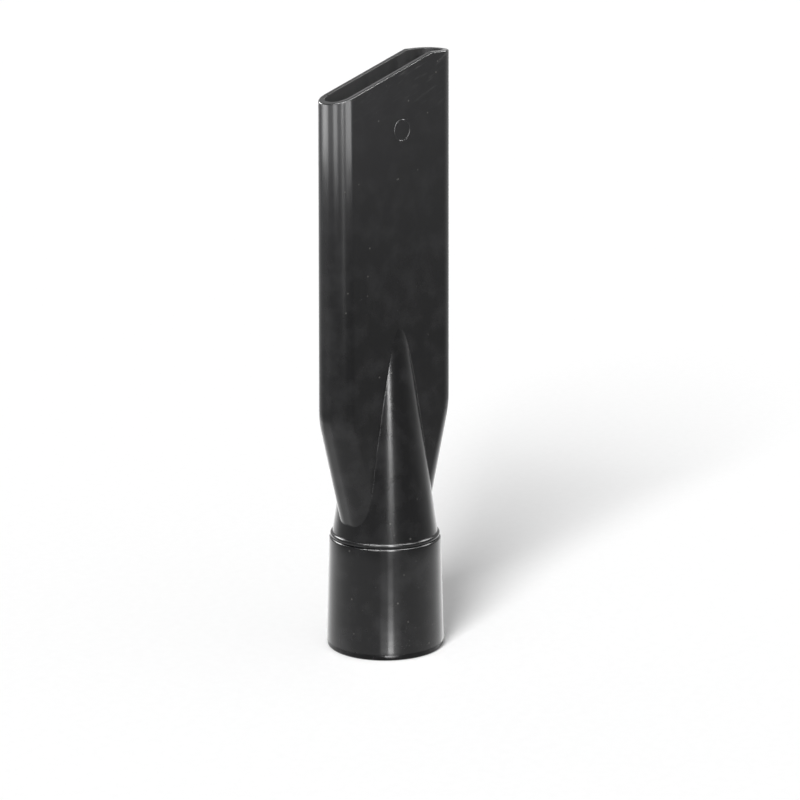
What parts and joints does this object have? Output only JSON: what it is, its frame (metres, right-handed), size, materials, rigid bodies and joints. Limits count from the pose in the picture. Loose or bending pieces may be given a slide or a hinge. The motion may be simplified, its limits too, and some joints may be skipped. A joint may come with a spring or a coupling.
{
  "type": "vacuum crevice tool",
  "caption": "Hollow flat-bladed suction tool with a round push-on collar, conical neck and slanted narrow mouth, for cleaning gaps and corners.",
  "frame": {"origin": "centre of the socket's mouth, in the plane of the collar's foot", "axes": "+Z along the tube's axis from the foot to the tip, X along the blade's width with the high tip at +X, Y along the blade's thickness"},
  "size_m": [0.0502, 0.0376, 0.189],
  "materials": {
    "black_plastic": "semi-gloss moulded polypropylene, black"
  },
  "bodies": {
    "root": {"crevice_tool": "black_plastic"}
  },
  "joints": []
}
